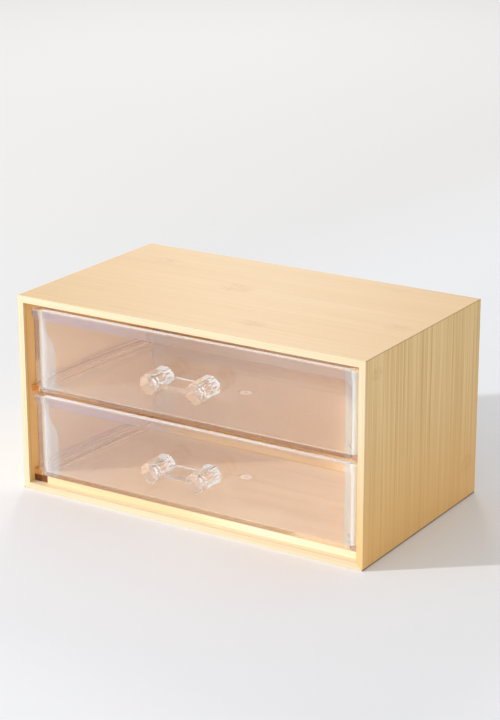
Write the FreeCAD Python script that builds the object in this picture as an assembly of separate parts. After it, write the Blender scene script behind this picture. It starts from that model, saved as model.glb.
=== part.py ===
import FreeCAD, Part
import math
import os

# A desk organizer for makeup: a mitred bamboo case, open at the front, with two clear moulded drawers.
# Sizes are in millimetres. X runs to the right, Y runs to the back and Z runs up.
# The origin is the centre of the case's bottom face.

# Case boards, mitred at the four corners
case_width = 251.0
case_depth = 146.5
case_height = 130.0
board_thickness = 4.4
board_edge_radius = 0.4

# Back panel, held in a groove in all four boards
back_panel_thickness = 3.0
back_panel_inset = 2.4
back_groove_depth = 2.0
back_panel_edge_gap = 0.25

# Floor panel, lying on the bottom board and set back from the front
floor_panel_thickness = 4.4
inner_setback = 5.5
floor_panel_slip = 0.1

# Hidden splines across the mitres
spline_thickness = 1.0
spline_cover = 0.7
spline_stop = 6.0

# Runners that carry the drawers by their sides
runner_width = 6.8
runner_height = 3.7
runner_back_gap = 0.5

# Room around each drawer
side_gap = 1.6
rim_setback = 3.1
back_gap = 0.5
head_gap = 4.0
drawer_gap = 1.9
floor_clearance = 0.3
ride_gap = 0.1
runner_side_gap = 0.3

# Tray walls, floor and corners
tray_wall = 2.4
tray_floor = 2.2
tray_corner_radius = 1.2
tray_bottom_radius = 1.5
cavity_corner_radius = 3.5
cavity_end_radius = 1.2

# Rim around the top of a tray
rim_overhang = 1.6
rim_height = 3.4
rim_slope_height = 3.6
rim_edge_radius = 0.8

# Round gate mark under the middle of a tray's floor
gate_diameter = 11.5
gate_depth = 0.6

# Handle: two octagonal posts joined by a flat web
post_spacing = 33.2
post_sides = 8
handle_reach = 18.8
post_base_width = 13.6
post_front_width = 12.8
post_bevel = 1.0
web_thickness = 3.2
web_setback = 2.6
web_wall_gap = 0.5
spigot_diameter = 5.0
spigot_slip = 0.05
core_diameter = 3.0
core_stop = 7.0

# Case planes
case_half_width = case_width / 2
case_front = -case_depth / 2
case_back = case_depth / 2
inner_half_width = case_half_width - board_thickness
inner_front = case_front + inner_setback
back_panel_back = case_back - back_panel_inset
back_panel_front = back_panel_back - back_panel_thickness
floor_top = board_thickness + floor_panel_thickness
ceiling = case_height - board_thickness

# Tray planes, with the heights measured from the underside of a tray
drawer_names = ("lower", "upper")
drawer_count = len(drawer_names)
first_tray_bottom = floor_top + floor_clearance
drawer_room = ceiling - head_gap - first_tray_bottom
tray_height = (drawer_room - drawer_gap * (drawer_count - 1)) / drawer_count
tray_pitch = tray_height + drawer_gap
rim_half_width = inner_half_width - side_gap
rim_front = case_front + rim_setback
rim_back = back_panel_front - back_gap
wall_half_width = rim_half_width - rim_overhang
wall_front = rim_front + rim_overhang
wall_back = rim_back - rim_overhang
cavity_half_width = wall_half_width - tray_wall
runner_face = inner_half_width - runner_width
notch_half_width = runner_face - runner_side_gap
notch_height = runner_height + ride_gap - floor_clearance

# Handle planes, on the same heights
handle_height = tray_height / 2
post_front = wall_front - handle_reach


def block(x_span, y_span, z_span):
    """Box between pairs of planes."""
    corner = FreeCAD.Vector(x_span[0], y_span[0], z_span[0])
    return Part.makeBox(x_span[1] - x_span[0], y_span[1] - y_span[0], z_span[1] - z_span[0], corner)


def both_sides(half_width):
    """Span from left to right of the middle plane."""
    return (-half_width, half_width)


def rounded_edges(box, radius, direction, bottom_only=False):
    """Round the edges of a box that run along one direction."""
    chosen = []
    for edge in box.Edges:
        along = edge.tangentAt(edge.FirstParameter)
        if not math.isclose(abs(along.dot(direction)), 1):
            continue
        if bottom_only and edge.CenterOfMass.z > box.CenterOfMass.z:
            continue
        chosen.append(edge)
    return box.makeFillet(radius, chosen)


def rounded_outline(half_width, front, back, radius, height):
    """Rectangle with round corners, lying at one height."""
    slab = block(both_sides(half_width), (front, back), (height, height + radius))
    rounded = rounded_edges(slab, radius, FreeCAD.Vector(0, 0, 1))
    underside = min(rounded.Faces, key=lambda face: face.CenterOfMass.z)
    return underside.OuterWire


def corner_ring(half_width, low, high):
    """Corners of a rectangle on the case's front plane, starting at the bottom left."""
    return (
        FreeCAD.Vector(-half_width, case_front, low),
        FreeCAD.Vector(half_width, case_front, low),
        FreeCAD.Vector(half_width, case_front, high),
        FreeCAD.Vector(-half_width, case_front, high),
    )


def corner_splines():
    """Four thin strips, each square across one mitre."""
    reach = math.sqrt(2) * (board_thickness / 2 - spline_cover) - spline_thickness / 2
    length = back_panel_front - spline_stop - (case_front + spline_stop)
    middle = board_thickness / 2
    strips = []
    for centre in corner_ring(case_half_width - middle, middle, case_height - middle):
        strip = Part.makeBox(2 * reach, length, spline_thickness)
        strip.translate(FreeCAD.Vector(-reach, spline_stop, -spline_thickness / 2))
        lean = 45 if centre.x * (centre.z - case_height / 2) > 0 else -45
        strip.rotate(FreeCAD.Vector(0, 0, 0), FreeCAD.Vector(0, 1, 0), lean)
        strip.translate(centre)
        strips.append(strip)
    return Part.makeCompound(strips)


def case_boards(splines):
    """Bottom, right, top and left boards, with the back panel's groove and the spline slots."""
    outer = corner_ring(case_half_width, 0, case_height)
    inner = corner_ring(inner_half_width, board_thickness, ceiling)
    whole = block(both_sides(case_half_width), (case_front, case_back), (0, case_height))
    eased = whole.makeFillet(board_edge_radius, whole.Edges)
    groove = block(
        both_sides(inner_half_width + back_groove_depth),
        (back_panel_front, back_panel_back),
        (board_thickness - back_groove_depth, ceiling + back_groove_depth),
    )
    boards = {}
    for side, name in enumerate(("bottom_board", "right_board", "top_board", "left_board")):
        following = (side + 1) % len(outer)
        ring = (outer[side], outer[following], inner[following], inner[side], outer[side])
        blank = Part.Face(Part.makePolygon(ring)).extrude(FreeCAD.Vector(0, case_depth, 0))
        boards[name] = blank.common(eased).cut(groove).cut(splines)
    return boards


def back_panel():
    """Thin panel whose edges lie in the groove."""
    tongue = back_groove_depth - back_panel_edge_gap
    return block(
        both_sides(inner_half_width + tongue),
        (back_panel_front, back_panel_back),
        (board_thickness - tongue, ceiling + tongue),
    )


def floor_panel():
    """Panel on the bottom board, between the side boards."""
    return block(
        both_sides(inner_half_width - floor_panel_slip),
        (inner_front, back_panel_front - floor_panel_slip),
        (board_thickness, floor_top),
    )


def runner(side):
    """Strip glued to a side board, with its height measured from the underside of a tray."""
    top = notch_height - ride_gap
    across = (runner_face, inner_half_width) if side > 0 else (-inner_half_width, -runner_face)
    return block(across, (inner_front, back_panel_front - runner_back_gap), (top - runner_height, top))


def cavity_side_radius():
    """Radius of the cavity's lower side corners that leaves a full wall at the runner notch."""
    across = notch_half_width - cavity_half_width
    up = tray_floor - notch_height
    lean = tray_wall - across - up
    return lean + math.sqrt(lean ** 2 - across ** 2 - up ** 2 + tray_wall ** 2)


def tray_cavity():
    """Inside of a tray: upright corners, large lower side corners and small lower end corners."""
    room = block(
        both_sides(cavity_half_width),
        (wall_front + tray_wall, wall_back - tray_wall),
        (tray_floor, tray_height + cavity_side_radius()),
    )
    upright = rounded_edges(room, cavity_corner_radius, FreeCAD.Vector(0, 0, 1))
    sides = rounded_edges(room, cavity_side_radius(), FreeCAD.Vector(0, 1, 0), bottom_only=True)
    ends = rounded_edges(room, cavity_end_radius, FreeCAD.Vector(1, 0, 0), bottom_only=True)
    return upright.common(sides).common(ends)


def tray_body():
    """Outside of a tray below the rim, narrowed at the bottom to pass between the runners."""
    walls = block(both_sides(wall_half_width), (wall_front, wall_back), (notch_height, tray_height))
    keel = block(both_sides(notch_half_width), (wall_front, wall_back), (0, notch_height))
    walls = rounded_edges(walls, tray_corner_radius, FreeCAD.Vector(0, 0, 1))
    keel = rounded_edges(keel, tray_bottom_radius, FreeCAD.Vector(0, 1, 0), bottom_only=True)
    return walls.fuse(keel)


def tray_rim():
    """Band around the top of a tray, with a sloping underside."""
    band_bottom = tray_height - rim_height
    rim_radius = tray_corner_radius + rim_overhang
    slope_foot = rounded_outline(
        wall_half_width, wall_front, wall_back, tray_corner_radius, band_bottom - rim_slope_height
    )
    band_foot = rounded_outline(rim_half_width, rim_front, rim_back, rim_radius, band_bottom)
    band = Part.Face(band_foot).extrude(FreeCAD.Vector(0, 0, rim_height))
    return Part.makeLoft([slope_foot, band_foot], True, True).fuse(band)


def handle_axes():
    """Points on the two post axes, on the front face of the tray's wall."""
    return (
        FreeCAD.Vector(-post_spacing / 2, wall_front, handle_height),
        FreeCAD.Vector(post_spacing / 2, wall_front, handle_height),
    )


def tray():
    """Clear moulded drawer, standing at height zero."""
    solid = tray_body().fuse(tray_rim()).cut(tray_cavity()).removeSplitter()
    lip = [edge for edge in solid.Edges if edge.BoundBox.ZMin > tray_height - rim_edge_radius]
    solid = solid.makeFillet(rim_edge_radius, lip)
    hole_radius = spigot_diameter / 2 + spigot_slip
    for point in handle_axes():
        solid = solid.cut(Part.makeCylinder(hole_radius, tray_wall, point, FreeCAD.Vector(0, 1, 0)))
    floor_middle = FreeCAD.Vector(0, (wall_front + wall_back) / 2, 0)
    return solid.cut(Part.makeCylinder(gate_diameter / 2, gate_depth, floor_middle))


def octagon(centre, width, plane):
    """Octagon across one post, with flats at the top, bottom and sides."""
    half_turn = math.pi / post_sides
    radius = width / 2 / math.cos(half_turn)
    corners = []
    for step in range(post_sides + 1):
        angle = (2 * step + 1) * half_turn
        across = centre.x + radius * math.cos(angle)
        up = centre.z + radius * math.sin(angle)
        corners.append(FreeCAD.Vector(across, plane, up))
    return Part.makePolygon(corners)


def handle():
    """Clear handle for a tray that stands at height zero."""
    bevel_plane = post_front + post_bevel
    solid = block(
        both_sides(post_spacing / 2),
        (post_front + web_setback, wall_front - web_wall_gap),
        (handle_height - web_thickness / 2, handle_height + web_thickness / 2),
    )
    inward = FreeCAD.Vector(0, 1, 0)
    for point in handle_axes():
        sections = [
            octagon(point, post_base_width, wall_front),
            octagon(point, post_front_width, bevel_plane),
            octagon(point, post_front_width - 2 * post_bevel, post_front),
        ]
        post = Part.makeLoft(sections, True, True)
        spigot = Part.makeCylinder(spigot_diameter / 2, tray_wall, point, inward)
        solid = solid.fuse(post).fuse(spigot)
    for point in handle_axes():
        core_end = FreeCAD.Vector(point.x, post_front + core_stop, point.z)
        core_length = wall_front + tray_wall - core_end.y
        solid = solid.cut(Part.makeCylinder(core_diameter / 2, core_length, core_end, inward))
    return solid.removeSplitter()


def save(shape, node):
    """Write one piece to its own file."""
    shape.exportStep("parts/" + node + ".step")


def raised(shape, height):
    """Copy of a piece, lifted to its drawer's level."""
    copy = shape.copy()
    copy.translate(FreeCAD.Vector(0, 0, height))
    return copy


def main():
    os.makedirs("parts", exist_ok=True)
    splines = corner_splines()
    save(splines, "corner_splines")
    for name, board in case_boards(splines).items():
        save(board, name)
    save(back_panel(), "back_panel")
    save(floor_panel(), "floor_panel")
    drawer_pieces = {
        "tray": tray(),
        "handle": handle(),
        "left_runner": runner(-1),
        "right_runner": runner(1),
    }
    for level, drawer in enumerate(drawer_names):
        for kind, shape in drawer_pieces.items():
            save(raised(shape, first_tray_bottom + level * tray_pitch), drawer + "_" + kind)


main()
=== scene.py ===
import math
from collections import namedtuple
import bmesh
import bpy
from mathutils import Matrix, Vector


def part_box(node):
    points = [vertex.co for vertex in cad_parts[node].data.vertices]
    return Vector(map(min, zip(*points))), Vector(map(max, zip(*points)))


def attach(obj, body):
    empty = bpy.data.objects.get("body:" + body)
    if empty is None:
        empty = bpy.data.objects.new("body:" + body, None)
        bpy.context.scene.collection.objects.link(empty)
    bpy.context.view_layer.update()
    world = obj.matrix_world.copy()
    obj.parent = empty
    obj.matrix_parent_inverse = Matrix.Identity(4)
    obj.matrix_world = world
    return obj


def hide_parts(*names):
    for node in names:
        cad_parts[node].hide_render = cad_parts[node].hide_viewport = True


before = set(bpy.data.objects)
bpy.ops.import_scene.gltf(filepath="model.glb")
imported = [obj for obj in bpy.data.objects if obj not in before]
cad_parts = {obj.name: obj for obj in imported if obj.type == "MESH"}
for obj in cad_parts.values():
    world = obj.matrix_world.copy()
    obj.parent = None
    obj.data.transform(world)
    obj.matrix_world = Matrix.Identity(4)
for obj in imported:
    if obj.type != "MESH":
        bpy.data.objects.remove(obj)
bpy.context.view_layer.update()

MM = 0.001
DRAWERS = ("lower", "upper")

# Tray, in millimetres
RIM_OVERHANG = 1.6
RIM_HEIGHT = 3.4
RIM_SLOPE_HEIGHT = 3.6
RIM_EDGE_RADIUS = 0.8
TRAY_WALL = 2.4
TRAY_FLOOR = 2.2
WALL_CORNER_RADIUS = 2.4
CAVITY_CORNER_RADIUS = 5.6
CAVITY_END_RADIUS = 1.2
CAVITY_SIDE_RADIUS = 10.5
KEEL_INSET = 5.5
KEEL_STEP = 0.15
KEEL_RADIUS = 1.5
KEEL_CORNER_RADIUS = 0.5
NOTCH_HEIGHT = 3.5
SHOULDER_RADIUS = 0.4
GATE_RADIUS = 5.75
GATE_DEPTH = 0.6
RUN_OUT = 12.0
RUN_OUT_STEPS = 4
CORNER_STEPS = 10
ROUND_STEPS = 5
FILLET_STEPS = 12

# Handle, in millimetres
POST_SPACING = 33.2
POST_BASE_WIDTH = 13.6
POST_FRONT_WIDTH = 12.8
POST_BEVEL = 1.0
POST_SIDES = 8
WEB_THICKNESS = 3.2
WEB_SETBACK = 2.6
WEB_WALL_GAP = 0.5
CORE_DIAMETER = 3.0
CORE_STOP = 7.0
HANDLE_SEAT_GAP = 0.05
HANDLE_EDGE = 0.4
CHAMFER_FACING = (0.5, 0.9)

# Painted light on the trays, as highlights, reflections, a glint and brightening: places and heights in
# metres, and how much white each paints in, as shares
TRAY_BOTTOM = 0.0091
TRAY_PITCH = 0.0572
BODY_PAINTED_LIGHT = 0.012
LEFT_BODY = (-0.10, 0.0)
RIM_REFLECTION = 0.062
RIM_FOOT = (0.0475, 0.0485)
RIM_FADE = (-0.050, 0.010)
RIM_KEPT = 0.15
LOWER_RIM_SHARE = 0.75
LIP_HIGHLIGHT = 0.14
LIP_FOOT = (0.0540, 0.0546)
POST_ENDS = (0.054, 0.060)
LEFT_WIDE = (0.0995, 0.1020)
LEFT_WIDE_HIGHLIGHT = 0.08
LEFT_NARROWING = (0.028, 0.049)
LEFT_NARROWED = 0.0105
LEFT_CORE = (0.1070, 0.1090)
LEFT_CORE_HIGHLIGHT = 0.10
LEFT_THIN = (0.1120, 0.1132)
LEFT_THIN_SHARE = 0.05
RIGHT_WIDE = (0.1088, 0.1112)
RIGHT_WIDE_HIGHLIGHT = 0.104
RIGHT_CORE = (0.1138, 0.1150)
RIGHT_CORE_HIGHLIGHT = 0.38
GATE_MIDDLE = -0.0014
GATE_RING = 0.0028
GATE_RING_EDGE = (0.0007, 0.0016)
GATE_GLINT = 0.7

# Colours of the trays' painted light, and the shares and places over which they set in
LILAC_LIGHT_TINT = (0.80, 0.81, 1.0, 1)
WARM_LIGHT_TINT = (1.0, 0.86, 0.64, 1)
LEFT_POST_HIGHLIGHT_TINT = (0.85, 0.92, 1.0, 1)
RIGHT_POST_HIGHLIGHT_TINT = (0.82, 0.93, 1.0, 1)
PALE_HIGHLIGHT_TINT = (1.0, 0.98, 0.97, 1)
COLOUR_TURN = (-0.07, 0.02)
POST_COLOURED = 0.02
PALE_COLOURED = 0.04
PAINTED_LIGHT_COLOURED = 0.05

# Clear plastic: tints, how clear it is, and how much light goes straight on
PLASTIC_IOR = 1.58
TINT_SHADE = (0.992, 0.988, 0.985)
FLOW_SCALE = 22.0
FLOW_ROUGHNESS = 0.012
TRAY_TINT = (0.998, 0.99, 0.985)
TRAY_CLEAR = 0.960
TRAY_PASSED = 0.99
HANDLE_TINT = (1.0, 0.995, 0.99)
HANDLE_CLEAR = 0.98
# painted highlight on the handles' chamfers and edges: far less clear, so they show white
EDGE_HIGHLIGHT_TINT = (1.0, 0.985, 0.975)
EDGE_HIGHLIGHT_CLEAR = 0.64
HANDLE_PASSED = 0.82

# Bamboo tones from dark to pale, as linear colours, then tones for knuckle marks, edges and the painted light
# and shade on the wood
LYING_TONES = ((0.66, 0.42, 0.17), (0.76, 0.52, 0.26), (0.82, 0.59, 0.33))
STANDING_TONES = ((0.68, 0.42, 0.13), (0.89, 0.62, 0.28), (0.97, 0.73, 0.39))
PANEL_TONES = ((0.74, 0.52, 0.27), (0.88, 0.66, 0.40), (0.93, 0.73, 0.48))
BASE_TONES = ((0.78, 0.58, 0.36), (0.90, 0.75, 0.54), (0.94, 0.81, 0.63))
RUNNER_TONES = ((0.50, 0.26, 0.09), (0.70, 0.42, 0.18), (0.80, 0.52, 0.26))
# sawn front edges: their own paler tone, made paler and less saturated still as painted light on the lamp-lit
# front
BOARD_EDGE_TONES = ((0.74, 0.58, 0.37), (0.78, 0.65, 0.45))
KNUCKLE_TONE = (0.46, 0.25, 0.09, 1)
# painted bounce light on the faces inside the case, from the front, near and far
INNER_PAINTED_LIGHT_TONES = ((1.0, 0.71, 0.34, 1), (0.90, 0.65, 0.32, 1), (1.0, 0.79, 0.47, 1))
# painted shade on the back panel's inner face behind the upper drawer
BACK_SHADE_TONE = (0.50, 0.25, 0.07, 1)
# painted light on the floor panel's right half
FLOOR_PANEL_LIGHT_TONE = (1.0, 0.86, 0.66, 1)
# painted shade in the floor panel's left front corner
CORNER_SHADE_TONE = (0.16, 0.05, 0.008, 1)
# painted warm orange shade low on the right board
LOW_WARM_SHADE_TONE = (0.87, 0.48, 0.135, 1)
# painted tone for the lamp-lit face: paler outer face of the left board
LEFT_LIT_SIDE_TONE = (0.74, 0.54, 0.33, 1)
# dark tone for the painted contact shadow along the boards' foot and for the dark line at their head
END_TONE = (0.22, 0.13, 0.06, 1)
# painted light and shade on the runners' front ends: orange where lit on the left, darker mauve brown where
# shaded on the right
RUNNER_END_LIGHT_AND_SHADE = {
    "upper_left": ((0.66, 0.24, 0.06), (0.80, 0.36, 0.12)),
    "upper_right": ((0.40, 0.24, 0.17), (0.48, 0.31, 0.22)),
    "lower_left": ((0.60, 0.27, 0.08), (0.78, 0.42, 0.15)),
    "lower_right": ((0.44, 0.30, 0.22), (0.50, 0.36, 0.27)),
}

# Contrast of the strips, the fibres, the streaks and the lines between strips
LYING_CONTRAST = (0.12, 0.85, 0.5, 0.14)
BASE_CONTRAST = (0.12, 0.7, 0.5, 0.14)
STANDING_CONTRAST = (0.34, 1.9, 0.45, 0.7)
PANEL_CONTRAST = (0.2, 0.6, 0.6, 0.3)
RUNNER_CONTRAST = (0.2, 0.8, 0.8, 0.3)

# Strip widths and line width in millimetres
WIDE_STRIP = 19.0
NARROW_STRIP = 1.8
SPLINE_STRIP = 3.0
RUNNER_STRIP = 7.0
STRIP_LINE = 0.35

# Grain in metres: length and width of a fibre, a streak and a band, and how the strips sway and slip
FIBRE_SIZE = (0.11, 0.0009)
STREAK_SIZE = (0.16, 0.0034)
BAND_SIZE = (0.22, 0.022)
BAND_SHARE = 0.5
STRIP_SWAY = 0.0008
STRIP_SLIP = 3.0
LUCK_OFFSET = 31.7

# Planes of the case and reaches of its painted light, shade and edge tones, in metres
CASE_FRONT = -0.07325
INSIDE_FRONT = -0.06775
BOARD_FOOT = 0.0
BOARD_HEAD = 0.130
INSIDE_TOP = 0.1258
INSIDE_WIDTH = 0.1213
SAWN_SKIN = (0.0003, 0.0008)
# painted bounce light inside the case: skin depth, where it starts, where its tones change, and its share
INNER_SKIN = 0.0004
INNER_START = (-0.069, -0.066)
INNER_NEAR = (-0.066, -0.060)
INNER_FAR = (-0.062, 0.060)
INNER_SHARE = 0.8
# painted shade on the back panel: heights where it sets in, the face it lies on, and its share
BACK_SHADE_HEIGHT = (0.0575, 0.0635)
BACK_SHADE_FACE = (0.0680, 0.0684)
BACK_SHADE_SHARE = 0.85
# painted light on the floor panel: where across it sets in, and its share
FLOOR_PANEL_LIGHT_SIDE = (-0.02, 0.05)
FLOOR_PANEL_LIGHT_SHARE = 0.75
# painted shade at the floor panel's left front end: where it ends across, and how deep into the front it
# reaches
CORNER_SHADE_END = (-0.1112, -0.1102)
CORNER_SHADE_SKIN = (0.0003, 0.0010)
# painted warm shade low on the right board: how high it reaches, its share, and where across it sets in
LOW_WARM_SHADE_REACH = 0.105
LOW_WARM_SHADE_SHARE = 0.65
LOW_WARM_SHADE_SIDE = (-0.122, -0.118)
# paler painted tone on the left board's lamp-lit outer face: where across it lies, and its share
LEFT_LIT_SIDE = (-0.1253, -0.1250)
LEFT_LIT_SIDE_SHARE = 0.6
# painted contact shadow along the boards' foot, and the dark line at their head
FOOT_SHADE_REACH = (0.0006, 0.0016)
FOOT_SHADE_SHARE = 0.95
HEAD_REACH = 0.0009
HEAD_SHARE = 0.6

# Knuckle marks in millimetres: along the grain, across it, half length, half width, then strength
TOP_MARKS = (
    (-91.0, 44.0, 12.0, 8.0, 0.26),
    (-17.0, 12.5, 15.0, 10.0, 0.40),
    (32.0, -45.5, 12.0, 8.0, 0.40),
    (111.0, -8.0, 12.0, 8.0, 0.32),
    (72.0, 62.0, 12.0, 7.0, 0.24),
)
SIDE_MARKS = (
    (24.0, 60.5, 8.0, 11.0, 0.5),
    (119.0, -60.0, 5.0, 9.0, 0.3),
)

# Camera and lights, in metres and degrees
CAMERA_PLACE = Vector((0.6701, -1.0546, 0.5025))
CAMERA_AZIMUTH = 32.385
CAMERA_ELEVATION = 18.34
CAMERA_ROLL = -0.13
CAMERA_LENS = 104.1
KEY_PLACE = Vector((-1.8325, -1.658, 0.96))
KEY_RADIUS = 0.055
KEY_POWER = 50.0
FILL_PLACE = Vector((-1.2, 1.9, 1.4))
FILL_SIZE = 0.5
FILL_POWER = 9.0
ROOM_LIGHT = 0.56
ROOM_FRONT_LIGHT = 0.6
ROOM_SEEN = 0.88
ROOM_COLOUR = (1.0, 0.985, 0.96, 1)
KEY_COLOUR = (1.0, 0.992, 0.98)
FILL_COLOUR = (1.0, 0.99, 0.98)
LAMP_AIM = Vector((0, 0, 0.06))

# Floor: size, tones, painted shade on the left, and the distances and widths over which they change, in
# metres
FLOOR_SIZE = 7.0
FLOOR_NEAR_TONES = ((0.845, 0.865, 0.91, 1), (0.865, 0.885, 0.93, 1))
FLOOR_FAR_TONE = (0.87, 0.88, 0.905, 1)
FLOOR_FAR = (0.25, 1.2)
FLOOR_LEFT_SHADE_TONE = (0.93, 0.92, 0.90, 1)
FLOOR_LEFT_SHADE = (-0.35, -0.10)

Wood = namedtuple("Wood", "split place level streak")


class Bench:
    """A node tree on the bench, with short ways to add nodes to it."""

    def __init__(self, tree):
        self.tree = tree

    def add(self, kind, values=None, **settings):
        """Add a node, set its properties, and fill or link its inputs."""
        node = self.tree.nodes.new(kind)
        for key, value in settings.items():
            setattr(node, key, value)
        for key, value in (values or {}).items():
            if isinstance(value, bpy.types.NodeSocket):
                self.tree.links.new(value, node.inputs[key])
            else:
                node.inputs[key].default_value = value
        return node

    def math(self, operation, first, second=0.0, third=0.0):
        """One sum, as a socket."""
        values = {0: first, 1: second, 2: third}
        return self.add("ShaderNodeMath", values, operation=operation).outputs[0]

    def ramp(self, value, low, high, at_low=0.0, at_high=1.0):
        """Smooth step from one value to another."""
        values = {"Value": value, "From Min": low, "From Max": high, "To Min": at_low, "To Max": at_high}
        return self.add("ShaderNodeMapRange", values, interpolation_type="SMOOTHSTEP").outputs[0]

    def blend(self, share, first, second, mode="MIX"):
        """Mix of two colours."""
        node = self.add("ShaderNodeMix", data_type="RGBA", blend_type=mode)
        for socket, value in zip((node.inputs[0], node.inputs[6], node.inputs[7]), (share, first, second)):
            if isinstance(value, bpy.types.NodeSocket):
                self.tree.links.new(value, socket)
            else:
                socket.default_value = value
        return node.outputs[2]


def finish_bench(name):
    """A new material and the bench for its nodes."""
    material = bpy.data.materials.new(name)
    material.use_nodes = True
    material.node_tree.nodes.clear()
    return material, Bench(material.node_tree)


# Bamboo

def fibres(bench, place, length, width, detail):
    """Noise drawn out along the grain, with its length and width in metres."""
    along, side, deep = place
    stretched = bench.add("ShaderNodeCombineXYZ", {
        0: bench.math("MULTIPLY", along, 1 / length),
        1: bench.math("MULTIPLY", side, 1 / width),
        2: bench.math("MULTIPLY", deep, 1 / width),
    }).outputs[0]
    values = {"Vector": stretched, "Scale": 1.0, "Detail": detail, "Roughness": 0.6}
    return bench.add("ShaderNodeTexNoise", values).outputs[0]


def knuckle_marks(bench, place, marks):
    """Soft speckled spots where the cane had its knuckles."""
    along, side, _ = place
    speckle = bench.ramp(fibres(bench, place, 0.0035, 0.0007, 2.0), 0.46, 0.60)
    whole = None
    for far, wide, length, width, strength in marks:
        a = bench.math("MULTIPLY", bench.math("SUBTRACT", along, far * MM), 1 / (length * MM))
        b = bench.math("MULTIPLY", bench.math("SUBTRACT", side, wide * MM), 1 / (width * MM))
        reach = bench.math("ADD", bench.math("MULTIPLY", a, a), bench.math("MULTIPLY", b, b))
        spot = bench.ramp(reach, 0.1, 1.0, strength, 0.0)
        whole = spot if whole is None else bench.math("MAXIMUM", whole, spot)
    return bench.math("MULTIPLY", whole, speckle)


def strips_across(bench, place, strip_width):
    """Tone and luck of each strip, and how near its edge is, as a share of its width."""
    along, side, _ = place
    noise = {"W": along, "Scale": 9.0, "Detail": 1.0}
    sway = bench.add("ShaderNodeTexNoise", noise, noise_dimensions="1D").outputs[0]
    counted = bench.math("DIVIDE", bench.math("MULTIPLY_ADD", sway, STRIP_SWAY, side), strip_width * MM)
    strip = bench.math("FLOOR", counted)
    edge = bench.math("PINGPONG", counted, 0.5)
    tone = bench.add("ShaderNodeTexWhiteNoise", {"W": strip}, noise_dimensions="1D").outputs[0]
    other = bench.math("ADD", strip, LUCK_OFFSET)
    luck = bench.add("ShaderNodeTexWhiteNoise", {"W": other}, noise_dimensions="1D").outputs[0]
    return tone, luck, edge


def tone_ramp(bench, level, tones):
    """Colour for a level, from the dark tone through the middle one to the pale one."""
    node = bench.add("ShaderNodeValToRGB", {0: level})
    stops = node.color_ramp.elements
    dark, middle, pale = tones
    stops[0].color = (*dark, 1)
    stops[1].color = (*pale, 1)
    stops.new(0.5).color = (*middle, 1)
    return node.outputs[0]


def knuckles(bench, wood, colour, marks):
    """Brown knuckle marks."""
    return bench.blend(knuckle_marks(bench, wood.place, marks), colour, KNUCKLE_TONE)


def sawn_front_and_painted_light(bench, wood, colour, face, dark, pale):
    """Other tones on a sawn front edge that lies on the given plane: the edge's own tone, with painted light
    and shade for how the lamp falls on it.
    """
    low, high = SAWN_SKIN
    sawn = bench.ramp(wood.split[1], face + low, face + high, 1.0, 0.0)
    sawn_colour = bench.blend(bench.ramp(wood.level, 0.3, 0.7), (*dark, 1), (*pale, 1))
    return bench.blend(sawn, colour, sawn_colour)


def painted_back_shade(bench, wood, colour):
    """Painted shade: darker inner face of the back panel behind the upper drawer."""
    share = bench.ramp(wood.split[2], *BACK_SHADE_HEIGHT, 0.0, BACK_SHADE_SHARE)
    share = bench.math("MULTIPLY", share, bench.ramp(wood.split[1], *BACK_SHADE_FACE, 1.0, 0.0))
    return bench.blend(share, colour, BACK_SHADE_TONE)


def painted_floor_panel_light(bench, wood, colour):
    """Painted light: paler right half of the floor panel, where the lamp's light falls, more so along its
    pale streaks.
    """
    share = bench.ramp(wood.split[0], *FLOOR_PANEL_LIGHT_SIDE, 0.0, FLOOR_PANEL_LIGHT_SHARE)
    share = bench.math("MULTIPLY", share, bench.ramp(wood.streak, 0.2, 0.7, 0.4, 1.0))
    return bench.blend(share, colour, FLOOR_PANEL_LIGHT_TONE)


def painted_corner_shade(bench, wood, colour):
    """Painted shade: dark brown left end of the floor panel's front, in the shadowed corner by the left
    board.
    """
    low, high = CORNER_SHADE_SKIN
    end = bench.ramp(wood.split[0], *CORNER_SHADE_END, 1.0, 0.0)
    front = bench.ramp(wood.split[1], INSIDE_FRONT + low, INSIDE_FRONT + high, 1.0, 0.0)
    return bench.blend(bench.math("MULTIPLY", end, front), colour, CORNER_SHADE_TONE)


def painted_inner_light(bench, wood, colour, letter, limit):
    """Painted light: brighter, warmer tones for light bounced inside the case, on the face that looks into
    the case, which lies within the limit from the middle.
    """
    from_middle = bench.math("ABSOLUTE", wood.split["XYZ".index(letter)])
    share = bench.ramp(from_middle, limit, limit + INNER_SKIN, 1.0, 0.0)
    share = bench.math("MULTIPLY", share, bench.ramp(wood.split[1], *INNER_START))
    front, near, far = INNER_PAINTED_LIGHT_TONES
    tone = bench.blend(bench.ramp(wood.split[1], *INNER_FAR), near, far)
    tone = bench.blend(bench.ramp(wood.split[1], *INNER_NEAR), front, tone)
    return bench.blend(share, colour, bench.blend(INNER_SHARE, colour, tone))


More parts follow.
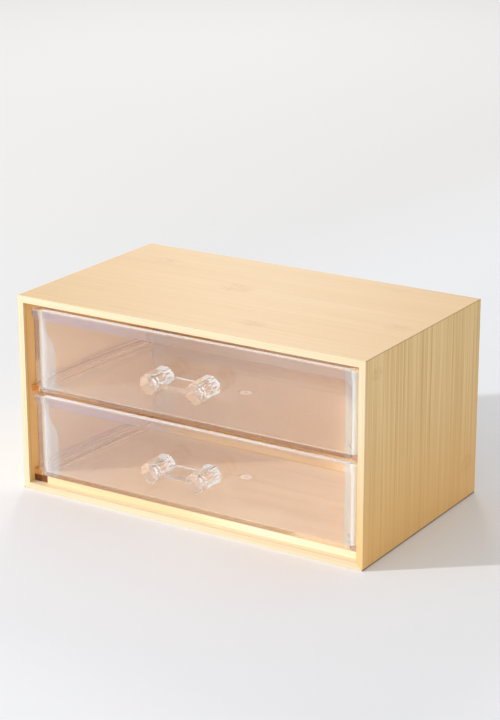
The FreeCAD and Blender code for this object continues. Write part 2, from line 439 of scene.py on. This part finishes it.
def board_ends(bench, wood, colour):
    """Painted warm orange shade low on the right board, a paler painted tone on the lamp-lit left board's
    outer face, a painted contact shadow along the foot, and a dark line at the head.
    """
    along = wood.place[0]
    # painted warm orange shade, fading upwards from the right board's foot
    warm_shade = bench.ramp(along, BOARD_FOOT, BOARD_FOOT + LOW_WARM_SHADE_REACH, LOW_WARM_SHADE_SHARE, 0.0)
    warm_shade = bench.math("MULTIPLY", warm_shade, bench.ramp(wood.split[0], *LOW_WARM_SHADE_SIDE))
    colour = bench.blend(warm_shade, colour, LOW_WARM_SHADE_TONE)
    # paler painted tone on the left board's lamp-lit outer face
    outside = bench.ramp(wood.split[0], *LEFT_LIT_SIDE, LEFT_LIT_SIDE_SHARE, 0.0)
    colour = bench.blend(outside, colour, LEFT_LIT_SIDE_TONE)
    # painted contact shadow along the foot, dark line at the head
    low, high = FOOT_SHADE_REACH
    foot = bench.ramp(along, BOARD_FOOT + low, BOARD_FOOT + high, FOOT_SHADE_SHARE, 0.0)
    head = bench.ramp(along, BOARD_HEAD - HEAD_REACH, BOARD_HEAD, 0.0, HEAD_SHARE)
    return bench.blend(bench.math("MAXIMUM", foot, head), colour, END_TONE)


def bamboo(name, axes, strip_width, tones, contrast, colour_layers=()):
    """Pressed bamboo: a tone for each strip, fibres and streaks along the grain, lines between strips.

    The colour layers are functions, each with its own settings, that change the wood's colour one after
    another; some are real marks and edges, some painted light and shade."""
    material, bench = finish_bench(name)
    object_place = bench.add("ShaderNodeTexCoord").outputs["Object"]
    split = bench.add("ShaderNodeSeparateXYZ", {0: object_place}).outputs
    place = [split["XYZ".index(letter)] for letter in axes]
    along, side, deep = place
    strip_contrast, fibre_contrast, streak_contrast, line_strength = contrast

    tone, luck, edge = strips_across(bench, place, strip_width)
    slipped = (bench.math("MULTIPLY_ADD", tone, STRIP_SLIP, along), side, deep)
    fibre = fibres(bench, slipped, *FIBRE_SIZE, 2.0)
    streak = fibres(bench, slipped, *STREAK_SIZE, 2.0)
    band = fibres(bench, place, *BAND_SIZE, 1.0)
    level = 0.5
    for noise, strength in ((tone, strip_contrast), (fibre, fibre_contrast), (streak, streak_contrast),
                            (band, streak_contrast * BAND_SHARE)):
        level = bench.math("MULTIPLY_ADD", bench.math("SUBTRACT", noise, 0.5), strength, level)
    line = bench.ramp(edge, 0.0, STRIP_LINE / strip_width, line_strength, 0.0)
    colour = bench.blend(bench.math("MULTIPLY", line, luck), tone_ramp(bench, level, tones), (*tones[0], 1))
    wood = Wood(split, place, level, streak)
    for layer, *settings in colour_layers:
        colour = layer(bench, wood, colour, *settings)

    bump = bench.add("ShaderNodeBump", {"Strength": 0.25, "Distance": 0.00003, "Height": fibre})
    shader = bench.add("ShaderNodeBsdfPrincipled", {
        "Base Color": colour,
        "Roughness": bench.ramp(fibre, 0.2, 0.8, 0.38, 0.50),
        "Normal": bump.outputs[0],
    })
    shader.inputs["Specular IOR Level"].default_value = 0.4
    bench.add("ShaderNodeOutputMaterial", {"Surface": shader.outputs[0]})
    return material


# Clear plastic

def rim_painted_reflection(bench, across, height, upper):
    """Painted reflection as a pale band along a rim, and a painted highlight on the lip on top of it, both
    fainter on the right of the upper tray.
    """
    faded = bench.ramp(across, *RIM_FADE, 1.0, RIM_KEPT)
    faded = bench.math("MAXIMUM", faded, bench.math("SUBTRACT", 1.0, upper))
    lower = bench.math("MULTIPLY_ADD", upper, 1 - LOWER_RIM_SHARE, LOWER_RIM_SHARE)
    band = bench.ramp(height, *RIM_FOOT, 0.0, RIM_REFLECTION)
    band = bench.math("MULTIPLY", band, bench.math("MINIMUM", faded, lower))
    lip = bench.math("MULTIPLY", bench.ramp(height, *LIP_FOOT, 0.0, LIP_HIGHLIGHT), faded)
    return band, lip


def post_painted_highlights(bench, across, along, height):
    """Painted highlights as pale strips at the corner posts, near the front and back walls only."""
    flank = bench.math("MULTIPLY", across, -1.0)
    narrowed = bench.ramp(height, *LEFT_NARROWING, 0.0, LEFT_NARROWED)
    wide = bench.ramp(bench.math("SUBTRACT", flank, narrowed), *LEFT_WIDE, 0.0, LEFT_WIDE_HIGHLIGHT)
    core = bench.ramp(flank, *LEFT_CORE, 0.0, LEFT_CORE_HIGHLIGHT)
    thin = bench.ramp(flank, *LEFT_THIN, 1.0, LEFT_THIN_SHARE)
    left = bench.math("MULTIPLY", bench.math("ADD", wide, core), thin)
    right = bench.ramp(across, *RIGHT_WIDE, 0.0, RIGHT_WIDE_HIGHLIGHT)
    right = bench.math("ADD", right, bench.ramp(across, *RIGHT_CORE, 0.0, RIGHT_CORE_HIGHLIGHT))
    ends = bench.ramp(bench.math("ABSOLUTE", along), *POST_ENDS)
    return bench.math("MULTIPLY", bench.math("MAXIMUM", left, right), ends)


def gate_mark_glint(bench, across, along):
    """Pale ring at the gate mark in the middle of a tray's floor: the mark is real, the pale ring a painted
    glint.
    """
    off = bench.math("SUBTRACT", along, GATE_MIDDLE)
    flat = bench.add("ShaderNodeCombineXYZ", {0: across, 1: off}).outputs[0]
    away = bench.add("ShaderNodeVectorMath", {0: flat}, operation="LENGTH").outputs["Value"]
    from_ring = bench.math("ABSOLUTE", bench.math("SUBTRACT", away, GATE_RING))
    return bench.ramp(from_ring, *GATE_RING_EDGE, GATE_GLINT, 0.0)


def trays_painted_light(bench, place):
    """Share of painted light on a tray, as highlights, reflections, the gate mark's glint and a brighter
    lower tray and left side, and its colour from left to right.
    """
    across, along, up = bench.add("ShaderNodeSeparateXYZ", {0: place}).outputs
    height = bench.math("MODULO", bench.math("SUBTRACT", up, TRAY_BOTTOM), TRAY_PITCH)
    upper = bench.ramp(up, TRAY_PITCH, TRAY_PITCH + TRAY_BOTTOM)
    band, lip = rim_painted_reflection(bench, across, height, upper)
    posts = post_painted_highlights(bench, across, along, height)
    pale = bench.math("MAXIMUM", lip, gate_mark_glint(bench, across, along))
    share = bench.math("MAXIMUM", bench.math("MAXIMUM", band, posts), pale)
    on_post = bench.ramp(posts, 0.0, POST_COLOURED)
    cool = bench.blend(on_post, LILAC_LIGHT_TINT, LEFT_POST_HIGHLIGHT_TINT)
    warm = bench.blend(on_post, WARM_LIGHT_TINT, RIGHT_POST_HIGHLIGHT_TINT)
    colour = bench.blend(bench.ramp(across, *COLOUR_TURN), cool, warm)
    colour = bench.blend(bench.ramp(pale, 0.0, PALE_COLOURED), colour, PALE_HIGHLIGHT_TINT)
    body = bench.math("MULTIPLY_ADD", upper, -BODY_PAINTED_LIGHT, BODY_PAINTED_LIGHT)
    body = bench.math("ADD", body, bench.ramp(across, *LEFT_BODY, BODY_PAINTED_LIGHT, 0.0))
    return bench.math("ADD", share, body), colour


def clear_plastic(name, tint, clear, passed, kinds, with_painted_light=False):
    """Clear moulded plastic, a little milky, with a faint ripple, and with painted light on the trays when
    asked; light that it scatters goes straight on.
    """
    material, bench = finish_bench(name)
    place = bench.add("ShaderNodeTexCoord").outputs["Object"]
    flow = bench.add("ShaderNodeTexNoise", {"Vector": place, "Scale": FLOW_SCALE, "Detail": 1.0}).outputs[0]
    bump = bench.add("ShaderNodeBump", {"Strength": 0.10, "Distance": 0.0004, "Height": flow})
    shaded = [part * shade for part, shade in zip(tint, TINT_SHADE)]
    colour = bench.blend(bench.ramp(flow, 0.3, 0.7), (*tint, 1), (*shaded, 1))
    shader = bench.add("ShaderNodeBsdfPrincipled", {
        "Base Color": colour,
        "Roughness": bench.ramp(flow, 0.2, 0.8, 0.0, FLOW_ROUGHNESS),
        "Normal": bump.outputs[0],
    })
    if with_painted_light:
        # share and colour of the painted highlights, reflections, glint and brightening on the tray
        share, light_tint = trays_painted_light(bench, place)
        bench.tree.links.new(bench.math("SUBTRACT", clear, share), shader.inputs["Transmission Weight"])
        tinted = bench.blend(bench.ramp(share, BODY_PAINTED_LIGHT, PAINTED_LIGHT_COLOURED), colour, light_tint)
        bench.tree.links.new(tinted, shader.inputs["Base Color"])
    else:
        shader.inputs["Transmission Weight"].default_value = clear
    shader.inputs["IOR"].default_value = PLASTIC_IOR
    rays = bench.add("ShaderNodeLightPath").outputs
    finish = shader.outputs[0]
    for kind in kinds:
        straight = bench.add("ShaderNodeBsdfTransparent")
        straight.inputs[0].default_value = (passed, passed, passed, 1)
        finish = bench.add(
            "ShaderNodeMixShader", {0: rays[kind], 1: finish, 2: straight.outputs[0]}
        ).outputs[0]
    bench.add("ShaderNodeOutputMaterial", {"Surface": finish})
    return material


def paint(node, material):
    """Give a carried-over piece its finish."""
    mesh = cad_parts[node].data
    mesh.materials.clear()
    mesh.materials.append(material)


# Meshes

def piece_from(name, mesh, material):
    """Put a finished mesh in the scene."""
    piece = bpy.data.objects.new(name, mesh)
    bpy.context.scene.collection.objects.link(piece)
    if not mesh.materials:
        mesh.materials.append(material)
    return piece


def settle(piece):
    """Turn a piece's live modifiers into plain mesh."""
    graph = bpy.context.evaluated_depsgraph_get()
    mesh = bpy.data.meshes.new_from_object(piece.evaluated_get(graph), depsgraph=graph)
    piece.modifiers.clear()
    piece.data = mesh
    return piece


def even_normals(piece, sharp_angle, flat_ends=False):
    """Shade flat faces flat and round faces round."""
    mesh = piece.data
    shape = bmesh.new()
    shape.from_mesh(mesh)
    for face in shape.faces:
        face.smooth = len(face.verts) <= 4 or not flat_ends
    for edge in shape.edges:
        edge.smooth = len(edge.link_faces) == 2 and edge.calc_face_angle() < math.radians(sharp_angle)
    shape.to_mesh(mesh)
    shape.free()
    weigh = piece.modifiers.new("weigh", "WEIGHTED_NORMAL")
    weigh.keep_sharp = True
    weigh.weight = 100
    return settle(piece)


# Trays

def tray_station(room, side_inset, end_inset, radius, height, side_round=0.0):
    """Points round a tray at one height, counterclockwise from the right front corner.

    The side walls' foot rounding, if any, runs out before it meets the front and back walls."""
    half_width, front, back, bottom = room
    wall = half_width - side_inset
    across = wall - radius
    near = front + end_inset + radius
    far = back - end_inset - radius
    centres = ((across, near, -90), (across, far, 0), (-across, far, 90), (-across, near, 180))
    flat = []
    for x, y, start in centres:
        for step in range(CORNER_STEPS + 1):
            turn = math.radians(start + 90 * step / CORNER_STEPS)
            flat.append((x + radius * math.cos(turn), y + radius * math.sin(turn)))
        if start in (-90, 90):
            way = 1 if start == -90 else -1
            first, last = (near, far) if way == 1 else (far, near)
            longest = min(RUN_OUT, (far - near) / 2)
            shares = [step / RUN_OUT_STEPS for step in range(1, RUN_OUT_STEPS + 1)]
            ends = [(share, first + way * longest * share) for share in shares]
            ends += [(share, last - way * longest * share) for share in reversed(shares)]
            for share, y in ends:
                drawn = side_round * share * share * (3 - 2 * share)
                flat.append((way * (wall - drawn), y))
    return [Vector((x, y, bottom + height)) * MM for x, y in flat]


def quarter(steps):
    """Sines and cosines of a quarter turn."""
    turns = [math.pi / 2 * step / steps for step in range(steps + 1)]
    return [(math.sin(turn), math.cos(turn)) for turn in turns]


def tray_outside(room, height):
    """Stations of a tray's skin from the gate mark, under the floor and up to the rim's top."""
    half_width, front, back, _ = room
    gate_side = half_width - GATE_RADIUS
    gate_end = (back - front) / 2 - GATE_RADIUS
    keel_end = RIM_OVERHANG + KEEL_STEP
    stations = [(gate_side, gate_end, GATE_RADIUS, GATE_DEPTH), (gate_side, gate_end, GATE_RADIUS, 0)]
    for sine, cosine in quarter(ROUND_STEPS):
        tuck = KEEL_RADIUS * (1 - sine)
        end_tuck = KEEL_CORNER_RADIUS * (1 - sine)
        rise = KEEL_RADIUS * (1 - cosine)
        stations.append((KEEL_INSET + tuck, keel_end + end_tuck, KEEL_CORNER_RADIUS, rise))
    stations.append((KEEL_INSET, keel_end, KEEL_CORNER_RADIUS, NOTCH_HEIGHT))
    for sine, cosine in quarter(2):
        tuck = SHOULDER_RADIUS * (1 - sine)
        rise = SHOULDER_RADIUS * (1 - cosine)
        stations.append((RIM_OVERHANG + tuck, RIM_OVERHANG, WALL_CORNER_RADIUS, NOTCH_HEIGHT + rise))
    band_foot = height - RIM_HEIGHT
    stations.append((RIM_OVERHANG, RIM_OVERHANG, WALL_CORNER_RADIUS, band_foot - RIM_SLOPE_HEIGHT))
    stations.append((0, 0, WALL_CORNER_RADIUS + RIM_OVERHANG, band_foot))
    for sine, cosine in quarter(ROUND_STEPS):
        tuck = RIM_EDGE_RADIUS * (1 - cosine)
        radius = WALL_CORNER_RADIUS + RIM_OVERHANG - tuck
        stations.append((tuck, tuck, radius, height - RIM_EDGE_RADIUS * (1 - sine)))
    return stations


def tray_inside(height):
    """Stations of a tray's skin from the inner lip down to the floor."""
    inset = RIM_OVERHANG + TRAY_WALL
    stations = []
    for sine, cosine in quarter(ROUND_STEPS):
        tuck = RIM_EDGE_RADIUS * (1 - sine)
        stations.append(
            (inset - tuck, inset - tuck, CAVITY_CORNER_RADIUS + tuck, height - RIM_EDGE_RADIUS * (1 - cosine))
        )
    rises = [CAVITY_SIDE_RADIUS * (1 - sine) for sine, _ in quarter(FILLET_STEPS)]
    rises += [CAVITY_END_RADIUS * (1 - sine) for sine, _ in quarter(ROUND_STEPS)]
    rises = sorted({round(rise, 3) for rise in rises}, reverse=True)
    for rise in rises:
        side = CAVITY_SIDE_RADIUS - math.sqrt(CAVITY_SIDE_RADIUS ** 2 - (CAVITY_SIDE_RADIUS - rise) ** 2)
        low = max(CAVITY_END_RADIUS - rise, 0)
        end = CAVITY_END_RADIUS - math.sqrt(CAVITY_END_RADIUS ** 2 - low ** 2)
        stations.append((inset, inset + end, CAVITY_CORNER_RADIUS, TRAY_FLOOR + rise, side))
    return stations


def tray(drawer, material):
    """Clear moulded tray: one closed skin through all its stations."""
    low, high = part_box(drawer + "_tray")
    room = (high.x / MM, low.y / MM, high.y / MM, low.z / MM)
    height = (high.z - low.z) / MM
    shape = bmesh.new()
    rings = []
    for station in tray_outside(room, height) + tray_inside(height):
        rings.append([shape.verts.new(point) for point in tray_station(room, *station)])
    shape.faces.new(list(reversed(rings[0])))
    shape.faces.new(rings[-1])
    for lower, upper in zip(rings, rings[1:]):
        for index in range(len(lower)):
            after = (index + 1) % len(lower)
            shape.faces.new((lower[index], lower[after], upper[after], upper[index]))
    bmesh.ops.remove_doubles(shape, verts=shape.verts, dist=0.002 * MM)
    bmesh.ops.dissolve_degenerate(shape, edges=shape.edges, dist=0.002 * MM)
    mesh = bpy.data.meshes.new(drawer + "_tray_clear")
    shape.to_mesh(mesh)
    shape.free()
    piece = even_normals(piece_from(drawer + "_tray_clear", mesh, material), 35, True)
    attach(piece, drawer + "_drawer")
    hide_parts(drawer + "_tray")
    return piece


# Handles

def handle_tree(material):
    """Node tree that makes one handle: two eight-sided posts, the web between them and the moulding cores."""
    tree = bpy.data.node_groups.new("handle_maker", "GeometryNodeTree")
    names = ("Spacing", "Base Radius", "Front Radius", "Reach", "Bevel", "Tip Scale", "Web Thickness",
             "Web Setback", "Web Gap", "Core Radius", "Core Stop")
    for name in names:
        tree.interface.new_socket(name, in_out="INPUT", socket_type="NodeSocketFloat")
    tree.interface.new_socket("Handle", in_out="OUTPUT", socket_type="NodeSocketGeometry")
    bench = Bench(tree)
    given = bench.add("NodeGroupInput").outputs
    half_spacing = bench.math("MULTIPLY", given["Spacing"], 0.5)

    shank = bench.math("SUBTRACT", given["Reach"], given["Bevel"])
    cone = bench.add("GeometryNodeMeshCone", {
        "Vertices": POST_SIDES,
        "Radius Top": given["Front Radius"],
        "Radius Bottom": given["Base Radius"],
        "Depth": shank,
    })
    tip = bench.add("GeometryNodeExtrudeMesh", {
        "Mesh": cone.outputs["Mesh"],
        "Selection": cone.outputs["Top"],
        "Offset Scale": given["Bevel"],
    })
    drawn = bench.add("GeometryNodeScaleElements", {
        "Geometry": tip.outputs["Mesh"],
        "Selection": tip.outputs["Top"],
        "Scale": given["Tip Scale"],
    })
    core_length = bench.math("SUBTRACT", given["Reach"], given["Core Stop"])
    core = bench.add("GeometryNodeMeshCylinder", {
        "Vertices": 24,
        "Radius": given["Core Radius"],
        "Depth": bench.math("MULTIPLY", core_length, 2.0),
    })

    left = bench.add("ShaderNodeCombineXYZ", {0: bench.math("MULTIPLY", half_spacing, -1.0)}).outputs[0]
    step = bench.add("ShaderNodeCombineXYZ", {0: given["Spacing"]}).outputs[0]
    row = bench.add("GeometryNodeMeshLine", {"Count": 2, "Start Location": left, "Offset": step}).outputs[0]
    post_turn = (math.radians(90), math.radians(180 / POST_SIDES), 0)
    posts = bench.add("GeometryNodeInstanceOnPoints", {"Points": row, "Instance": drawn.outputs[0]})
    posts.inputs["Rotation"].default_value = post_turn
    cores = bench.add("GeometryNodeInstanceOnPoints", {"Points": row, "Instance": core.outputs["Mesh"]})
    cores.inputs["Rotation"].default_value = (math.radians(90), 0, 0)
    real_posts = bench.add("GeometryNodeRealizeInstances", {0: posts.outputs[0]}).outputs[0]
    real_cores = bench.add("GeometryNodeRealizeInstances", {0: cores.outputs[0]}).outputs[0]

    web_depth = bench.math("SUBTRACT", given["Reach"], given["Web Setback"])
    web_depth = bench.math("SUBTRACT", web_depth, given["Web Gap"])
    web_sizes = {0: given["Spacing"], 1: web_depth, 2: given["Web Thickness"]}
    web_size = bench.add("ShaderNodeCombineXYZ", web_sizes)
    web_middle = bench.math("MULTIPLY_ADD", web_depth, -0.5, bench.math("MULTIPLY", given["Web Gap"], -1.0))
    web_place = bench.add("ShaderNodeCombineXYZ", {1: web_middle}).outputs[0]
    web = bench.add("GeometryNodeMeshCube", {"Size": web_size.outputs[0]})
    web = bench.add("GeometryNodeTransform", {"Geometry": web.outputs["Mesh"], "Translation": web_place})

    whole = bench.add("GeometryNodeMeshBoolean", operation="UNION")
    tree.links.new(real_posts, whole.inputs["Mesh 2"])
    tree.links.new(web.outputs[0], whole.inputs["Mesh 2"])
    bored = bench.add("GeometryNodeMeshBoolean", {"Mesh 1": whole.outputs[0]}, operation="DIFFERENCE")
    tree.links.new(real_cores, bored.inputs["Mesh 2"])
    coated = bench.add("GeometryNodeSetMaterial", {"Geometry": bored.outputs[0], "Material": material})
    bench.add("NodeGroupOutput", {"Handle": coated.outputs[0]})
    return tree


def handle(drawer, tree, material, highlight_material):
    """Clear handle of one drawer, seated on its tray's front wall, with painted highlights on its chamfers
    and edges.
    """
    low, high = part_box(drawer + "_handle")
    tray_low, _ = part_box(drawer + "_tray")
    wall_front = tray_low.y + RIM_OVERHANG * MM
    reach = wall_front - low.y - HANDLE_SEAT_GAP * MM
    to_corner = 0.5 / math.cos(math.pi / POST_SIDES) * MM
    sizes = {
        "Spacing": POST_SPACING * MM,
        "Base Radius": POST_BASE_WIDTH * to_corner,
        "Front Radius": POST_FRONT_WIDTH * to_corner,
        "Reach": reach,
        "Bevel": POST_BEVEL * MM,
        "Tip Scale": 1 - 2 * POST_BEVEL / POST_FRONT_WIDTH,
        "Web Thickness": WEB_THICKNESS * MM,
        "Web Setback": WEB_SETBACK * MM,
        "Web Gap": WEB_WALL_GAP * MM,
        "Core Radius": CORE_DIAMETER / 2 * MM,
        "Core Stop": CORE_STOP * MM,
    }
    piece = piece_from(drawer + "_handle_clear", bpy.data.meshes.new(drawer + "_handle_clear"), material)
    maker = piece.modifiers.new("maker", "NODES")
    maker.node_group = tree
    for socket in tree.interface.items_tree:
        if socket.item_type == "SOCKET" and socket.in_out == "INPUT":
            maker[socket.identifier] = sizes[socket.name]
    settle(piece)
    seat = Vector((0, wall_front - HANDLE_SEAT_GAP * MM, (low.z + high.z) / 2))
    piece.data.transform(Matrix.Translation(seat))
    shape = bmesh.new()
    shape.from_mesh(piece.data)
    bmesh.ops.remove_doubles(shape, verts=shape.verts, dist=0.001 * MM)
    bmesh.ops.dissolve_limit(shape, angle_limit=math.radians(0.5), verts=shape.verts, edges=shape.edges)
    for face in shape.faces:
        # front-facing chamfers get the painted highlight material
        if CHAMFER_FACING[0] < -face.normal.y < CHAMFER_FACING[1]:
            face.material_index = 1
    piece.data.materials.append(highlight_material)
    shape.to_mesh(piece.data)
    shape.free()
    round_off = piece.modifiers.new("round_off", "BEVEL")
    round_off.width = HANDLE_EDGE * MM
    round_off.segments = 3
    round_off.limit_method = "ANGLE"
    round_off.angle_limit = math.radians(25)
    round_off.material = 1
    settle(piece)
    even_normals(piece, 50)
    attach(piece, drawer + "_drawer")
    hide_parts(drawer + "_handle")
    return piece


# Stage

def floor_finish():
    """Pale floor, a little warmer far off, with painted shade that dims it on the left."""
    material, bench = finish_bench("pale_floor")
    place = bench.add("ShaderNodeTexCoord").outputs["Object"]
    far = bench.add("ShaderNodeVectorMath", {0: place}, operation="LENGTH").outputs["Value"]
    grain = bench.add("ShaderNodeTexNoise", {"Vector": place, "Scale": 3.0, "Detail": 2.0}).outputs[0]
    share = bench.ramp(far, *FLOOR_FAR)
    colour = bench.blend(share, bench.blend(grain, *FLOOR_NEAR_TONES), FLOOR_FAR_TONE)
    aside = bench.add("ShaderNodeSeparateXYZ", {0: place}).outputs[0]
    # painted shade on the floor left of the case
    colour = bench.blend(bench.ramp(aside, *FLOOR_LEFT_SHADE, 1.0, 0.0), colour, FLOOR_LEFT_SHADE_TONE, "MULTIPLY")
    shader = bench.add("ShaderNodeBsdfPrincipled", {"Base Color": colour})
    shader.inputs["Roughness"].default_value = 0.75
    shader.inputs["Specular IOR Level"].default_value = 0.2
    bench.add("ShaderNodeOutputMaterial", {"Surface": shader.outputs[0]})
    return material


def lay_floor():
    """Wide floor that the case stands on."""
    shape = bmesh.new()
    bmesh.ops.create_grid(shape, x_segments=8, y_segments=8, size=FLOOR_SIZE)
    mesh = bpy.data.meshes.new("floor")
    shape.to_mesh(mesh)
    shape.free()
    piece_from("floor", mesh, floor_finish())


def light_room():
    """Pale room light, brighter from the front, and the brightness that the camera and the plastic see."""
    world = bpy.data.worlds.new("room")
    world.use_nodes = True
    world.node_tree.nodes.clear()
    bpy.context.scene.world = world
    bench = Bench(world.node_tree)
    path = bench.add("ShaderNodeLightPath").outputs
    seen = bench.math("MAXIMUM", path["Is Camera Ray"], path["Is Glossy Ray"])
    seen = bench.math("MAXIMUM", seen, path["Is Transmission Ray"])
    way = bench.add("ShaderNodeTexCoord").outputs["Generated"]
    ahead = bench.add("ShaderNodeSeparateXYZ", {0: way}).outputs[1]
    frontal = bench.math("MAXIMUM", bench.math("MULTIPLY", ahead, -1.0), 0.0)
    given = bench.math("MULTIPLY_ADD", frontal, ROOM_FRONT_LIGHT, ROOM_LIGHT)
    strength = bench.add("ShaderNodeMapRange", {"Value": seen, "To Min": given, "To Max": ROOM_SEEN})
    sky = bench.add("ShaderNodeBackground", {"Color": ROOM_COLOUR, "Strength": strength.outputs[0]})
    bench.add("ShaderNodeOutputWorld", {"Surface": sky.outputs[0]})


def lamp(name, place, aim, size, power, colour):
    """Round lamp that points at a spot."""
    data = bpy.data.lights.new(name, "AREA")
    data.shape = "DISK"
    data.size = size
    data.energy = power
    data.color = colour
    thing = bpy.data.objects.new(name, data)
    thing.location = place
    thing.rotation_euler = (aim - place).to_track_quat("-Z", "Y").to_euler()
    bpy.context.scene.collection.objects.link(thing)


def let_light_through():
    """Let a ray of light cross as many clear walls as the drawers have."""
    paths = bpy.context.scene.cycles
    paths.max_bounces = 24
    paths.diffuse_bounces = 6
    paths.glossy_bounces = 12
    paths.transmission_bounces = 24
    paths.transparent_max_bounces = 40


def set_camera():
    """Camera at the photograph's viewpoint."""
    azimuth = math.radians(CAMERA_AZIMUTH)
    elevation = math.radians(CAMERA_ELEVATION)
    roll = math.radians(CAMERA_ROLL)
    flat = math.cos(elevation)
    ahead = Vector((-math.sin(azimuth) * flat, math.cos(azimuth) * flat, -math.sin(elevation)))
    level = Vector((math.cos(azimuth), math.sin(azimuth), 0))
    right = level * math.cos(roll) + level.cross(ahead) * math.sin(roll)
    up = right.cross(ahead)
    data = bpy.data.cameras.new("camera")
    data.lens = CAMERA_LENS
    data.sensor_width = 36.0
    data.clip_end = 60.0
    camera = bpy.data.objects.new("camera", data)
    turn = Matrix((right, up, -ahead)).transposed().to_4x4()
    camera.matrix_world = Matrix.Translation(CAMERA_PLACE) @ turn
    bpy.context.scene.collection.objects.link(camera)
    bpy.context.scene.camera = camera


def finish_case():
    """Bamboo on the carried-over case pieces, each with its own grain direction."""
    edges = (sawn_front_and_painted_light, CASE_FRONT, *BOARD_EDGE_TONES)
    lying = bamboo("case_bamboo_lying", "XYZ", WIDE_STRIP, LYING_TONES, LYING_CONTRAST,
                   ((knuckles, TOP_MARKS), edges, (painted_inner_light, "Z", INSIDE_TOP)))
    base = bamboo("case_bamboo_base", "XYZ", WIDE_STRIP, BASE_TONES, BASE_CONTRAST, (edges,))
    standing = bamboo("case_bamboo_standing", "ZYX", NARROW_STRIP, STANDING_TONES, STANDING_CONTRAST,
                      ((knuckles, SIDE_MARKS), edges, (painted_inner_light, "X", INSIDE_WIDTH), (board_ends,)))
    finishes = {
        "top_board": lying,
        "bottom_board": base,
        "left_board": standing,
        "right_board": standing,
        "back_panel": bamboo("panel_bamboo", "XZY", WIDE_STRIP, PANEL_TONES, PANEL_CONTRAST, ((painted_back_shade,),)),
        "floor_panel": bamboo("floor_bamboo", "XYZ", WIDE_STRIP, PANEL_TONES, PANEL_CONTRAST,
                              ((painted_floor_panel_light,), (painted_corner_shade,))),
        "corner_splines": bamboo("spline_wood", "YZX", SPLINE_STRIP, RUNNER_TONES, RUNNER_CONTRAST),
    }
    # each runner's front end gets its painted light or shade
    for place, tones in RUNNER_END_LIGHT_AND_SHADE.items():
        finishes[place + "_runner"] = bamboo(place + "_runner_wood", "YXZ", RUNNER_STRIP, RUNNER_TONES,
                                             RUNNER_CONTRAST, ((sawn_front_and_painted_light, INSIDE_FRONT, *tones),))
    for node, material in finishes.items():
        paint(node, material)


def clear_pieces():
    """Both drawers' trays and handles, with their plastics."""
    kinds = ("Is Reflection Ray", "Is Shadow Ray")
    tray_plastic = clear_plastic("clear_tray_plastic", TRAY_TINT, TRAY_CLEAR, TRAY_PASSED, kinds, True)
    kinds = ("Is Shadow Ray",)
    handle_plastic = clear_plastic("clear_handle_plastic", HANDLE_TINT, HANDLE_CLEAR, HANDLE_PASSED, kinds)
    edge_highlight_plastic = clear_plastic("painted_highlight_handle_edges", EDGE_HIGHLIGHT_TINT, EDGE_HIGHLIGHT_CLEAR, HANDLE_PASSED, kinds)
    maker = handle_tree(handle_plastic)
    for drawer in DRAWERS:
        tray(drawer, tray_plastic)
        handle(drawer, maker, handle_plastic, edge_highlight_plastic)


def main():
    bpy.context.scene.view_settings.view_transform = "Standard"
    finish_case()
    clear_pieces()
    lay_floor()
    light_room()
    let_light_through()
    lamp("key", KEY_PLACE, LAMP_AIM, 2 * KEY_RADIUS, KEY_POWER, KEY_COLOUR)
    lamp("fill", FILL_PLACE, LAMP_AIM, FILL_SIZE, FILL_POWER, FILL_COLOUR)
    set_camera()


main()
